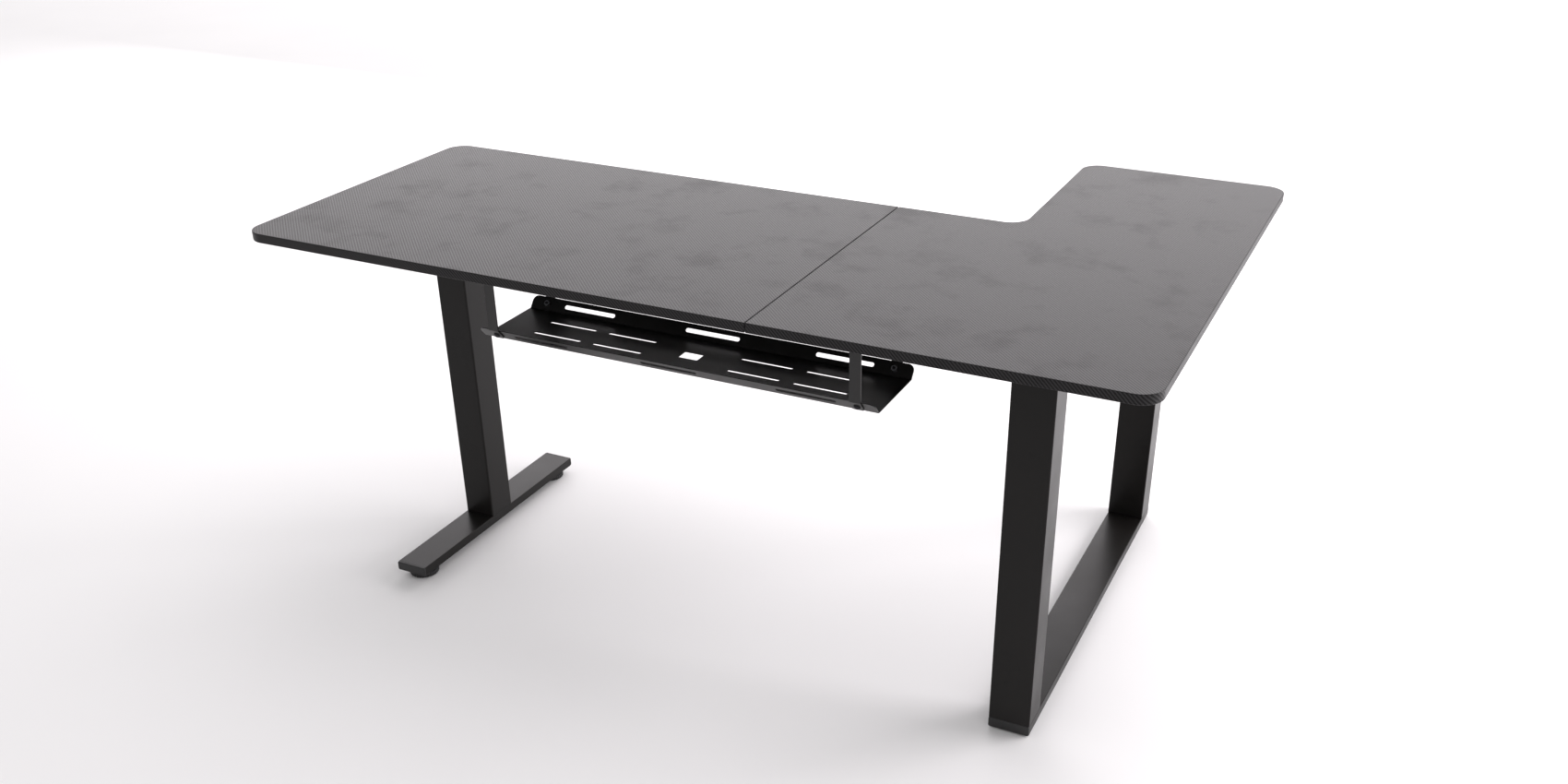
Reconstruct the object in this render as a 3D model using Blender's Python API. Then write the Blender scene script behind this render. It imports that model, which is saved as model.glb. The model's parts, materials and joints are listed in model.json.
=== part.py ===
"""L-shaped computer desk: a two-piece top on a T-leg and a closed loop leg, with a slotted
cable tray hung under the back edge. Metres, +Z up.

Sizes and places are worked out from one corner of the footprint: X from the left end, Y from
the back edge, Z from the floor. The empty desk_origin then moves that corner so that the
frame's origin is the middle of the footprint, on the floor."""

from math import cos, pi, radians, sin, tan

import bmesh
import bpy
from mathutils import Matrix, Vector

GAP = 0.0003  # between pieces that touch

# Top
DESK_HEIGHT = 0.750
DESK_LENGTH = 1.740
DESK_DEPTH = 1.095  # back edge to the end of the return
BOARD_DEPTH = 0.655  # back edge to front edge of the straight part
RETURN_WIDTH = 0.418
RIGHT_BOARD_LENGTH = 0.673
BOARD_THICKNESS = 0.018
CORNER_RADIUS = 0.040
INNER_CORNER_RADIUS = 0.040
ARRIS_RADIUS = 0.0015

# T-leg
T_LEG_X = 0.230
T_LEG_SHIFT = 0.004  # from the middle of the board's depth towards the front
COLUMN_SIDE = 0.070
COLUMN_CORNER = 0.006
LEG_WALL = 0.002
FOOT_LENGTH = 0.548
FOOT_THICKNESS = 0.019
FOOT_CAP_LIP = 0.005
T_TOP_BEAM_INSET = 0.0675  # from the board's edges, were the beam centred under it
T_TOP_BEAM_WIDTH = 0.060
T_TOP_BEAM_HEIGHT = 0.030

# Levelling feet
LEVELLER_INSET = 0.040  # from the end of the foot beam
LEVELLER_RADIUS = 0.030
LEVELLER_RIM_HEIGHT = 0.0105
NECK_HEIGHT = 0.0025
LEVELLER_CLEARANCE = 0.0045  # from the neck up to the foot beam
RIB_COUNT = 30
RIB_DEPTH = 0.0012
NECK_RADIUS = 0.012
STUD_RADIUS = 0.005
STUD_SEAT = 0.003  # floor to the bottom of the stud, inside the foot
STUD_HEADROOM = 0.0045  # from the stud up to the foot beam's upper wall
THREAD_CLEARANCE = 0.0003
INSERT_WALL = 0.0025
INSERT_HEIGHT = 0.0125

# Loop leg
LOOP_RIGHT_INSET = 0.216  # from the desk's right end to the middle of the leg
LOOP_BACK_INSET = 0.104
LOOP_FRONT_INSET = 0.116
LOOP_WIDTH = 0.076
POST_DEPTH = 0.065
LOOP_BEAM_HEIGHT = 0.020
LOOP_CORNER = 0.003
LOOP_CAP_LIP = 0.003
GLIDE_HEIGHT = 0.0025
GLIDE_RADIUS = 0.011
GLIDE_SIDE_INSET = 0.016
GLIDE_END_INSET = 0.030

# Rails
RAIL_WIDTH = 0.040
RAIL_HEIGHT = 0.020
RAIL_WALL = 0.0015
RAIL_TRAY_CLEARANCE = 0.0132  # from the front hangers to the back rail
RAIL_FRONT_INSET = 0.135  # from the board's front edge to the middle of the front rail
FLANGE_THICKNESS = 0.003
FLANGE_BOLT_INSET = 0.009  # from the flange's end, and from the rail's side

# Seam plates
SEAM_GAP = 0.0015
PLATE_LENGTH = 0.120
PLATE_WIDTH = 0.050
PLATE_THICKNESS = 0.0025
PLATE_RAIL_INSET = 0.100  # from the back rail to the back plate
PLATE_FRONT_INSET = 0.045

# Cable tray
TRAY_SHIFT = 0.0015  # from midway between the legs
TRAY_LENGTH = 0.790
TRAY_FLOOR_Y = 0.0757
TRAY_FLOOR_WIDTH = 0.143
TRAY_DROP = 0.134  # underside of the boards to the tray floor
TRAY_WALL_SLANT = 0.027
TRAY_WALL_ANGLE = radians(51)
SHEET = 0.0015
SHEET_BEND = 0.002
TRAY_CORNER = 0.012
FLOOR_SLOT_LENGTH = 0.101
FLOOR_SLOT_WIDTH = 0.006
FLOOR_SLOT_XS = (-0.2670, -0.1385, 0.1385, 0.2670)
FLOOR_SLOT_SPREAD = 0.054
WALL_SLOT_LENGTH = 0.112
WALL_SLOT_WIDTH = 0.008
WALL_SLOT_XS = (-0.2650, 0.0, 0.2650)
WINDOW_LENGTH = 0.038
WINDOW_WIDTH = 0.026

# Tray hangers
HANGER_INSET = 0.035  # from the tray's end to the middle of the strap
HANGER_WIDTH = 0.021
HANGER_THICKNESS = 0.002
HANGER_BEND = 0.003
HANGER_FLANGE = 0.028
HANGER_RIM_CLEARANCE = 0.0015
HANGER_TOE = 0.003  # from the tray's bend line to the strap's lower end

# Fasteners
HOLE_CLEARANCE = 0.0004
TRAY_BOLT_RADIUS = 0.003
TRAY_BOLT_HEAD = (0.0063, 0.0033)
TRAY_NUT_WIDTH = 0.010
TRAY_NUT_HEIGHT = 0.005
TRAY_BOLT_TIP = 0.0015  # beyond the nut
SCREW_RADIUS = 0.002
SCREW_HEAD = (0.0042, 0.0024)
SCREW_BITE = 0.013  # into the board
LEG_BOLT_RADIUS = 0.003
LEG_BOLT_HEAD = (0.006, 0.0033)
LEG_BOLT_BITE = 0.012
LEG_BOLT_INSET = 0.050  # from the end of the T-leg's beam, and from a loop post
RAIL_BOLT_RADIUS = 0.003
RAIL_BOLT_HEAD = (0.0052, 0.003)
RAIL_BOLT_BITE = 0.008  # past the face of the leg beam

# Sizes and places that follow
UNDERSIDE = DESK_HEIGHT - BOARD_THICKNESS
FRAME_TOP = UNDERSIDE - GAP
SEAM_X = DESK_LENGTH - RIGHT_BOARD_LENGTH
T_LEG_Y = BOARD_DEPTH / 2 + T_LEG_SHIFT
T_TOP_BEAM_LENGTH = BOARD_DEPTH - 2 * T_TOP_BEAM_INSET
T_TOP_BEAM_Z = FRAME_TOP - T_TOP_BEAM_HEIGHT
FOOT_WIDTH = COLUMN_SIDE
LEVELLER_HEIGHT = LEVELLER_RIM_HEIGHT + NECK_HEIGHT
FOOT_BOTTOM = LEVELLER_HEIGHT + LEVELLER_CLEARANCE
FOOT_TOP = FOOT_BOTTOM + FOOT_THICKNESS
INSERT_RADIUS = STUD_RADIUS + INSERT_WALL
LOOP_X = DESK_LENGTH - LOOP_RIGHT_INSET
LOOP_LENGTH = DESK_DEPTH - LOOP_BACK_INSET - LOOP_FRONT_INSET
LOOP_Y = LOOP_BACK_INSET + LOOP_LENGTH / 2
LOOP_TOP_BEAM_Z = FRAME_TOP - LOOP_BEAM_HEIGHT
LOOP_BOTTOM_BEAM_TOP = GLIDE_HEIGHT + LOOP_BEAM_HEIGHT
TRAY_X = (T_LEG_X + LOOP_X) / 2 + TRAY_SHIFT
TRAY_FLOOR_Z = UNDERSIDE - TRAY_DROP
FLANGE_BOLT_OFFSET = RAIL_WIDTH / 2 + FLANGE_BOLT_INSET
FLANGE_WIDTH = 2 * (FLANGE_BOLT_OFFSET + FLANGE_BOLT_INSET)
RAIL_FRONT_Y = BOARD_DEPTH - RAIL_FRONT_INSET
ENDS = {"back": -1, "front": 1}
SIDES = {"left": -1, "right": 1}


# Scene and objects


def clear_scene():
    for obj in list(bpy.data.objects):
        bpy.data.objects.remove(obj, do_unlink=True)


def make_material(name, colour, roughness, metallic=0.0):
    material = bpy.data.materials.new(name)
    material.use_nodes = True
    shader = material.node_tree.nodes["Principled BSDF"]
    shader.inputs["Base Color"].default_value = (*colour, 1.0)
    shader.inputs["Roughness"].default_value = roughness
    shader.inputs["Metallic"].default_value = metallic
    return material


def make_materials():
    return {
        "film": make_material("carbon_weave_film", (0.045, 0.043, 0.045), 0.45),
        "steel": make_material("black_powder_coated_steel", (0.014, 0.013, 0.013), 0.5),
        "plastic": make_material("black_plastic", (0.012, 0.012, 0.013), 0.55),
        "zinc": make_material("zinc_plated_steel", (0.55, 0.56, 0.58), 0.35, 1.0),
        "black_bolt": make_material("black_oxide_steel", (0.02, 0.02, 0.022), 0.4, 0.6),
    }


def add_object(desk, name, bm, material, location=(0, 0, 0), turn_x=0.0):
    """One named object of the desk. Its faces point out, and smooth faces meet flat ones sharply."""
    bmesh.ops.recalc_face_normals(bm, faces=bm.faces)
    mesh = bpy.data.meshes.new(name)
    bm.to_mesh(mesh)
    bm.free()
    mesh.shade_smooth()
    mesh.set_sharp_from_angle(angle=radians(30))
    obj = bpy.data.objects.new(name, mesh)
    bpy.context.scene.collection.objects.link(obj)
    obj.parent = desk["origin"]
    obj.location = location
    obj.rotation_euler = (turn_x, 0, 0)
    mesh.materials.append(desk[material])
    desk[name] = obj
    return obj


def cut(obj, cutter_bm, location=(0, 0, 0)):
    """Takes the cutter's bodies out of the object. The cutter stands in the desk's corner coordinates."""
    bmesh.ops.recalc_face_normals(cutter_bm, faces=cutter_bm.faces)
    mesh = bpy.data.meshes.new(obj.name + "_cutter")
    cutter_bm.to_mesh(mesh)
    cutter_bm.free()
    cutter = bpy.data.objects.new(obj.name + "_cutter", mesh)
    bpy.context.scene.collection.objects.link(cutter)
    cutter.parent = obj.parent
    cutter.location = location
    cutter.hide_render = True
    cutter.display_type = "WIRE"
    modifier = obj.modifiers.new("cut", "BOOLEAN")
    modifier.operation = "DIFFERENCE"
    modifier.solver = "EXACT"
    modifier.object = cutter


# Outlines and bodies


def along(axis, a, b, distance):
    """A point at a distance along the axis, with a and b across it in X, Y, Z order."""
    if axis == "X":
        return (distance, a, b)
    if axis == "Y":
        return (a, distance, b)
    return (a, b, distance)


def rounded_outline(corners, steps=6):
    """The outline through right-angled corners (x, y, radius). Each arc runs between its tangent
    points, a radius away from the corner, and works for outer and for inner corners."""
    points = []
    for index, (x, y, radius) in enumerate(corners):
        corner = Vector((x, y))
        if radius == 0:
            points.append(corner)
            continue
        before = (Vector(corners[index - 1][:2]) - corner).normalized()
        after = (Vector(corners[(index + 1) % len(corners)][:2]) - corner).normalized()
        centre = corner + (before + after) * radius
        for step in range(steps + 1):
            angle = pi / 2 * step / steps
            points.append(centre - (after * cos(angle) + before * sin(angle)) * radius)
    return points


def rectangle(width, height, radius=0.0, steps=3):
    """A rectangle about the origin with rounded corners."""
    a = width / 2
    b = height / 2
    corners = [(-a, -b, radius), (a, -b, radius), (a, b, radius), (-a, b, radius)]
    return rounded_outline(corners, steps)


def stadium(length, width, steps=6):
    """A slot's outline about the origin: two half circles joined by straight sides."""
    points = []
    for side in (1, -1):
        for step in range(steps + 1):
            angle = pi * step / steps - pi / 2
            x = (length - width) / 2 + cos(angle) * width / 2
            points.append(Vector((x, sin(angle) * width / 2)) * side)
    return points


def circle(radius, segments=16):
    angles = [2 * pi * i / segments for i in range(segments)]
    return [Vector((cos(angle), sin(angle))) * radius for angle in angles]


def add_prism(bm, outline, axis, start, end, matrix=None):
    """A body with the outline across the axis, from start to end along it."""
    matrix = matrix or Matrix.Identity(4)
    rings = []
    for distance in (start, end):
        rings.append([bm.verts.new(matrix @ Vector(along(axis, p[0], p[1], distance))) for p in outline])
    bm.faces.new(rings[0])
    bm.faces.new(rings[1])
    join_rings(bm, rings[0], rings[1])


def join_rings(bm, first, second):
    for i in range(len(first)):
        j = (i + 1) % len(first)
        bm.faces.new((first[i], first[j], second[j], second[i]))


def prism(outline, axis, start, end):
    bm = bmesh.new()
    add_prism(bm, outline, axis, start, end)
    return bm


def tube(width, height, wall, radius, axis, start, end):
    """A rectangular tube, open at both ends. width and height lie across the axis in X, Y, Z order."""
    bm = bmesh.new()
    outer = rectangle(width, height, radius)
    inner = rectangle(width - 2 * wall, height - 2 * wall, max(radius - wall, 0.0005))
    rings = []
    for outline in (outer, inner):
        for distance in (start, end):
            rings.append([bm.verts.new(along(axis, p[0], p[1], distance)) for p in outline])
    outer_start, outer_end, inner_start, inner_end = rings
    join_rings(bm, outer_start, outer_end)
    join_rings(bm, inner_start, inner_end)
    join_rings(bm, outer_start, inner_start)
    join_rings(bm, outer_end, inner_end)
    return bm


def turned(rings, segments, hollow=False):
    """A body turned about Z from rings (radius, z), where a radius may also be a function of the
    angle. A hollow body's last ring joins its first; a solid one is capped at both ends."""
    bm = bmesh.new()
    made = []
    for radius, z in rings:
        ring = []
        for i in range(segments):
            angle = 2 * pi * i / segments
            r = radius(angle) if callable(radius) else radius
            ring.append(bm.verts.new((r * cos(angle), r * sin(angle), z)))
        made.append(ring)
    for first, second in zip(made, made[1:]):
        join_rings(bm, first, second)
    if hollow:
        join_rings(bm, made[-1], made[0])
    else:
        bm.faces.new(made[0])
        bm.faces.new(made[-1])
    return bm


def bent_path(points, radius, steps=3):
    """The path through the points with each inner corner rounded to the radius."""
    path = [Vector(points[0])]
    for before, corner, after in zip(points, points[1:], points[2:]):
        corner = Vector(corner)
        way_in = (corner - Vector(before)).normalized()
        way_out = (Vector(after) - corner).normalized()
        turn = way_in.angle_signed(way_out)  # clockwise is positive
        start = corner - way_in * radius * tan(abs(turn) / 2)
        side = Vector((way_in.y, -way_in.x)) * (1 if turn > 0 else -1)
        centre = start + side * radius
        for step in range(steps + 1):
            arm = start - centre
            arm.rotate(Matrix.Rotation(-turn * step / steps, 2))
            path.append(centre + arm)
    path.append(Vector(points[-1]))
    return path


def strip_outline(path, thickness):
    """The outline of a strip of the thickness whose middle follows the path."""
    left = []
    right = []
    for index, point in enumerate(path):
        before = path[max(index - 1, 0)]
        after = path[min(index + 1, len(path) - 1)]
        way_in = (point - before).normalized() if index else (after - point).normalized()
        way_out = (after - point).normalized() if index < len(path) - 1 else way_in
        middle = (way_in + way_out).normalized()
        normal = Vector((-middle.y, middle.x))
        reach = thickness / 2 / max(middle.dot(way_in), 0.1)
        left.append(point + normal * reach)
        right.append(point - normal * reach)
    return left + right[::-1]


# Top


def make_boards(desk):
    half_seam = SEAM_GAP / 2
    r = CORNER_RADIUS
    left = [
        (0, 0, r),
        (SEAM_X - half_seam, 0, 0),
        (SEAM_X - half_seam, BOARD_DEPTH, 0),
        (0, BOARD_DEPTH, r),
    ]
    return_x = DESK_LENGTH - RETURN_WIDTH
    right = [
        (SEAM_X + half_seam, 0, 0),
        (DESK_LENGTH, 0, r),
        (DESK_LENGTH, DESK_DEPTH, r),
        (return_x, DESK_DEPTH, r),
        (return_x, BOARD_DEPTH, INNER_CORNER_RADIUS),
        (SEAM_X + half_seam, BOARD_DEPTH, 0),
    ]
    for name, corners in (("top_board_left", left), ("top_board_right", right)):
        bm = prism(rounded_outline(corners), "Z", 0, BOARD_THICKNESS)
        board = add_object(desk, name, bm, "film", (0, 0, UNDERSIDE))
        arris = board.modifiers.new("arris", "BEVEL")
        arris.width = ARRIS_RADIUS
        arris.segments = 2
        arris.limit_method = "ANGLE"
        arris.angle_limit = radians(50)


def make_seam_plates(desk):
    places = {
        "back": rail_back_y() - PLATE_RAIL_INSET,
        "middle": (rail_back_y() + RAIL_FRONT_Y) / 2,
        "front": BOARD_DEPTH - PLATE_FRONT_INSET,
    }
    for name, y in places.items():
        outline = rectangle(PLATE_LENGTH, PLATE_WIDTH, 0.006)
        bm = prism(outline, "Z", -PLATE_THICKNESS, 0)
        add_object(desk, f"seam_plate_{name}", bm, "steel", (SEAM_X, y, FRAME_TOP))


# T-leg


def leveller_y(end):
    return T_LEG_Y + end * (FOOT_LENGTH / 2 - LEVELLER_INSET)


def make_t_leg(desk):
    bm = tube(COLUMN_SIDE, COLUMN_SIDE, LEG_WALL, COLUMN_CORNER, "Z", FOOT_TOP + GAP, T_TOP_BEAM_Z - GAP)
    add_object(desk, "t_leg_column", bm, "steel", (T_LEG_X, T_LEG_Y, 0))

    half = T_TOP_BEAM_LENGTH / 2
    bm = tube(T_TOP_BEAM_WIDTH, T_TOP_BEAM_HEIGHT, LEG_WALL, 0.003, "Y", -half, half)
    middle_z = T_TOP_BEAM_Z + T_TOP_BEAM_HEIGHT / 2
    add_object(desk, "t_leg_top_beam", bm, "steel", (T_LEG_X, T_LEG_Y, middle_z))

    half = FOOT_LENGTH / 2 - FOOT_CAP_LIP - GAP
    bm = tube(FOOT_WIDTH, FOOT_THICKNESS, LEG_WALL, 0.003, "Y", -half, half)
    middle_z = FOOT_BOTTOM + FOOT_THICKNESS / 2
    foot = add_object(desk, "t_leg_foot_beam", bm, "steel", (T_LEG_X, T_LEG_Y, middle_z))
    holes = bmesh.new()
    for end in ENDS.values():
        place = Matrix.Translation((T_LEG_X, leveller_y(end), 0))
        outline = circle(INSERT_RADIUS + GAP, 24)
        add_prism(holes, outline, "Z", FOOT_BOTTOM - 0.002, FOOT_BOTTOM + LEG_WALL + 0.002, place)
    cut(foot, holes)
    for name, end in ENDS.items():
        make_end_cap(desk, f"t_leg_foot_cap_{name}", end, FOOT_WIDTH, FOOT_THICKNESS, FOOT_CAP_LIP,
                     (T_LEG_X, T_LEG_Y + end * FOOT_LENGTH / 2, middle_z))


def make_end_cap(desk, name, end, width, height, lip, outer_end):
    """A plug for a rectangular tube along Y: a lip as large as the tube, chamfered at its outer
    end, and a block that fills the tube's mouth."""
    bm = bmesh.new()
    chamfer = lip * 0.6
    plug_gap = LEG_WALL + GAP
    plug_length = 0.012
    sections = (
        (width - 2 * chamfer, height - 2 * chamfer, 0),
        (width, height, -end * chamfer),
        (width, height, -end * lip),
        (width - 2 * plug_gap, height - 2 * plug_gap, -end * lip),
        (width - 2 * plug_gap, height - 2 * plug_gap, -end * (lip + plug_length)),
    )
    rings = []
    for ring_width, ring_height, y in sections:
        outline = rectangle(ring_width, ring_height, 0.002)
        rings.append([bm.verts.new(along("Y", p[0], p[1], y)) for p in outline])
    for first, second in zip(rings, rings[1:]):
        join_rings(bm, first, second)
    bm.faces.new(rings[0])
    bm.faces.new(rings[-1])
    add_object(desk, name, bm, "plastic", outer_end)


def make_levellers(desk):
    """Each levelling foot's pieces have their origins on its thread's axis, on the floor."""
    bore = STUD_RADIUS + THREAD_CLEARANCE

    def ribbed(angle):
        return LEVELLER_RADIUS - RIB_DEPTH * (0.5 - 0.5 * cos(RIB_COUNT * angle))

    foot_rings = (
        (LEVELLER_RADIUS - 0.003, 0),
        (LEVELLER_RADIUS - RIB_DEPTH, 0.0015),
        (ribbed, 0.0030),
        (ribbed, LEVELLER_RIM_HEIGHT - 0.0015),
        (LEVELLER_RADIUS - 0.003, LEVELLER_RIM_HEIGHT),
        (NECK_RADIUS, LEVELLER_RIM_HEIGHT),
        (NECK_RADIUS, LEVELLER_HEIGHT),
        (bore, LEVELLER_HEIGHT),
        (bore, STUD_SEAT - GAP),
    )
    stud_top = FOOT_TOP - LEG_WALL - STUD_HEADROOM
    stud_rings = (
        (STUD_RADIUS, STUD_SEAT),
        (STUD_RADIUS, stud_top - 0.001),
        (STUD_RADIUS - 0.001, stud_top),
    )
    insert_rings = (
        (bore, FOOT_BOTTOM),
        (INSERT_RADIUS, FOOT_BOTTOM),
        (INSERT_RADIUS, FOOT_BOTTOM + INSERT_HEIGHT),
        (bore, FOOT_BOTTOM + INSERT_HEIGHT),
    )
    for name, end in ENDS.items():
        place = (T_LEG_X, leveller_y(end), 0)
        add_object(desk, f"leveller_foot_{name}", turned(foot_rings, 2 * RIB_COUNT), "plastic", place)
        add_object(desk, f"leveller_stud_{name}", turned(stud_rings, 20), "zinc", place)
        insert = turned(insert_rings, 20, hollow=True)
        add_object(desk, f"leveller_insert_{name}", insert, "zinc", place)


# Loop leg


def make_loop_leg(desk):
    half = LOOP_LENGTH / 2 - LOOP_CAP_LIP - GAP
    for name, low in (("bottom", GLIDE_HEIGHT), ("top", LOOP_TOP_BEAM_Z)):
        bm = tube(LOOP_WIDTH, LOOP_BEAM_HEIGHT, LEG_WALL, LOOP_CORNER, "Y", -half, half)
        middle_z = low + LOOP_BEAM_HEIGHT / 2
        add_object(desk, f"loop_{name}_beam", bm, "steel", (LOOP_X, LOOP_Y, middle_z))
        for side, end in ENDS.items():
            make_end_cap(desk, f"loop_{name}_cap_{side}", end, LOOP_WIDTH, LOOP_BEAM_HEIGHT, LOOP_CAP_LIP,
                         (LOOP_X, LOOP_Y + end * LOOP_LENGTH / 2, middle_z))
    for name, end in ENDS.items():
        low = LOOP_BOTTOM_BEAM_TOP + GAP
        high = LOOP_TOP_BEAM_Z - GAP
        bm = tube(LOOP_WIDTH, POST_DEPTH, LEG_WALL, LOOP_CORNER, "Z", low, high)
        y = LOOP_Y + end * (LOOP_LENGTH - POST_DEPTH) / 2
        add_object(desk, f"loop_post_{name}", bm, "steel", (LOOP_X, y, 0))
    make_glides(desk)


def make_glides(desk):
    """Flat discs that hold the bottom beam clear of the floor, two near each end."""
    top = GLIDE_HEIGHT - GAP
    rings = ((GLIDE_RADIUS - 0.0006, 0), (GLIDE_RADIUS, 0.0006), (GLIDE_RADIUS, top))
    number = 0
    for end in ENDS.values():
        for side in SIDES.values():
            number += 1
            y = LOOP_Y + end * (LOOP_LENGTH / 2 - GLIDE_END_INSET)
            x = LOOP_X + side * (LOOP_WIDTH / 2 - GLIDE_SIDE_INSET)
            add_object(desk, f"loop_glide_{number}", turned(rings, 20), "plastic", (x, y, 0))


# Rails and the bolts of the frame


def bolt(radius, head, shank):
    """A button-head bolt along Z: the head's flat underside at 0, the shank above it."""
    head_radius, head_height = head
    rings = (
        (head_radius * 0.55, -head_height),
        (head_radius * 0.85, -head_height * 0.75),
        (head_radius, -head_height * 0.3),
        (head_radius, 0),
        (radius, 0),
        (radius, shank),
    )
    return turned(rings, 16)


def rail_back_y():
    hanger_end = tray_bend_y(1) + hanger_path(1)[0].x
    return hanger_end + RAIL_TRAY_CLEARANCE + RAIL_WIDTH / 2


def make_rails(desk):
    """Each rail runs between the two leg beams and ends in a flange bolted to the beam's side."""
    left_face = T_LEG_X + T_TOP_BEAM_WIDTH / 2 + GAP
    right_face = LOOP_X - LOOP_WIDTH / 2 - GAP
    middle_z = FRAME_TOP - RAIL_HEIGHT / 2
    reach = FLANGE_THICKNESS + GAP
    for name, y in (("back", rail_back_y()), ("front", RAIL_FRONT_Y)):
        bm = tube(RAIL_WIDTH, RAIL_HEIGHT, RAIL_WALL, 0.002, "X", left_face + reach, right_face - reach)
        add_object(desk, f"rail_{name}", bm, "steel", (0, y, middle_z))
        for side, face, into in (("left", left_face, -1), ("right", right_face, 1)):
            outline = rectangle(FLANGE_WIDTH, RAIL_HEIGHT, 0.002)
            bm = prism(outline, "X", 0, -into * FLANGE_THICKNESS)
            flange = add_object(desk, f"rail_flange_{name}_{side}", bm, "steel", (face, y, middle_z))
            bolt_y = y + FLANGE_BOLT_OFFSET
            hole = circle(RAIL_BOLT_RADIUS + HOLE_CLEARANCE)
            centre = Matrix.Translation((0, bolt_y, middle_z))
            holes = bmesh.new()
            add_prism(holes, hole, "X", face - 0.006, face + 0.006, centre)
            cut(flange, holes)
            beam = desk["t_leg_top_beam"] if side == "left" else desk["loop_top_beam"]
            holes = bmesh.new()
            add_prism(holes, hole, "X", face - 0.006, face + 0.006, centre)
            cut(beam, holes)
            bm = bolt(RAIL_BOLT_RADIUS, RAIL_BOLT_HEAD, FLANGE_THICKNESS + RAIL_BOLT_BITE)
            bmesh.ops.rotate(bm, verts=bm.verts, matrix=Matrix.Rotation(into * pi / 2, 3, "Y"))
            head_x = face - into * (FLANGE_THICKNESS + GAP)
            add_object(desk, f"rail_bolt_{name}_{side}", bm, "black_bolt", (head_x, bolt_y, middle_z))


def make_leg_bolts(desk):
    """Bolts up through both walls of each leg's top beam into the boards."""
    t_reach = T_TOP_BEAM_LENGTH / 2 - LEG_BOLT_INSET
    loop_reach = LOOP_LENGTH / 2 - POST_DEPTH - LEG_BOLT_INSET
    t_leg = ("t", T_LEG_X, T_LEG_Y, t_reach, T_TOP_BEAM_Z, "t_leg_top_beam", "top_board_left")
    loop = ("loop", LOOP_X, LOOP_Y, loop_reach, LOOP_TOP_BEAM_Z, "loop_top_beam", "top_board_right")
    for leg, x, middle_y, reach, low, beam, board in (t_leg, loop):
        holes = bmesh.new()
        blind_holes = bmesh.new()
        for name, end in ENDS.items():
            y = middle_y + end * reach
            centre = Matrix.Translation((x, y, 0))
            hole = circle(LEG_BOLT_RADIUS + HOLE_CLEARANCE)
            add_prism(holes, hole, "Z", low - 0.002, UNDERSIDE + 0.002, centre)
            add_prism(blind_holes, hole, "Z", UNDERSIDE - 0.002, UNDERSIDE + LEG_BOLT_BITE + 0.001, centre)
            shank = UNDERSIDE - low + GAP + LEG_BOLT_BITE
            bm = bolt(LEG_BOLT_RADIUS, LEG_BOLT_HEAD, shank)
            add_object(desk, f"leg_bolt_{leg}_{name}", bm, "black_bolt", (x, y, low - GAP))
        cut(desk[beam], holes)
        cut(desk[board], blind_holes)


# Cable tray


def wall_frame(end):
    """The frame of a tray wall: x along the tray, y up the wall's inner face from the bend line,
    z out of the inner face towards the middle of the tray."""
    origin = Vector((TRAY_X, tray_bend_y(end), TRAY_FLOOR_Z))
    up = Vector((0, end * cos(TRAY_WALL_ANGLE), sin(TRAY_WALL_ANGLE)))
    inwards = Vector((0, -end * sin(TRAY_WALL_ANGLE), cos(TRAY_WALL_ANGLE)))
    matrix = Matrix((Vector((1, 0, 0)), up, inwards)).transposed().to_4x4()
    matrix.translation = origin
    return matrix


def tray_bend_y(end):
    return TRAY_FLOOR_Y + (TRAY_FLOOR_WIDTH if end > 0 else 0)


def tray_holes():
    """Cutters for the floor's slots and window, and for each wall's slots, bolt holes and corners."""
    bm = bmesh.new()
    middle_y = TRAY_FLOOR_Y + TRAY_FLOOR_WIDTH / 2
    for x in FLOOR_SLOT_XS:
        for end in ENDS.values():
            place = Matrix.Translation((TRAY_X + x, middle_y + end * FLOOR_SLOT_SPREAD / 2, TRAY_FLOOR_Z))
            add_prism(bm, stadium(FLOOR_SLOT_LENGTH, FLOOR_SLOT_WIDTH), "Z", -0.004, 0.002, place)
    place = Matrix.Translation((TRAY_X, middle_y, TRAY_FLOOR_Z))
    add_prism(bm, rectangle(WINDOW_LENGTH, WINDOW_WIDTH, 0.002), "Z", -0.004, 0.002, place)
    for end in ENDS.values():
        frame = wall_frame(end)
        for x in WALL_SLOT_XS:
            place = frame @ Matrix.Translation((x, TRAY_WALL_SLANT / 2, 0))
            add_prism(bm, stadium(WALL_SLOT_LENGTH, WALL_SLOT_WIDTH), "Z", -0.004, 0.002, place)
        for side in SIDES.values():
            place = frame @ Matrix.Translation((side * hanger_offset(), TRAY_WALL_SLANT / 2, 0))
            add_prism(bm, circle(TRAY_BOLT_RADIUS + HOLE_CLEARANCE), "Z", -0.004, 0.002, place)
            place = frame @ Matrix.Translation((side * TRAY_LENGTH / 2, TRAY_WALL_SLANT, 0))
            add_prism(bm, corner_waste(TRAY_CORNER, side), "Z", -0.004, 0.004, place)
    return bm


def corner_waste(radius, side, steps=6):
    """What rounding takes off a wall's upper corner: the corner's square less a quarter circle."""
    points = []
    for step in range(steps + 1):
        angle = pi / 2 * step / steps
        points.append((side * (sin(angle) - 1) * radius, (cos(angle) - 1) * radius))
    margin = 0.004
    points += [(side * margin, -radius), (side * margin, margin), (-side * radius, margin)]
    return points


def hanger_offset():
    return TRAY_LENGTH / 2 - HANGER_INSET


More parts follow.
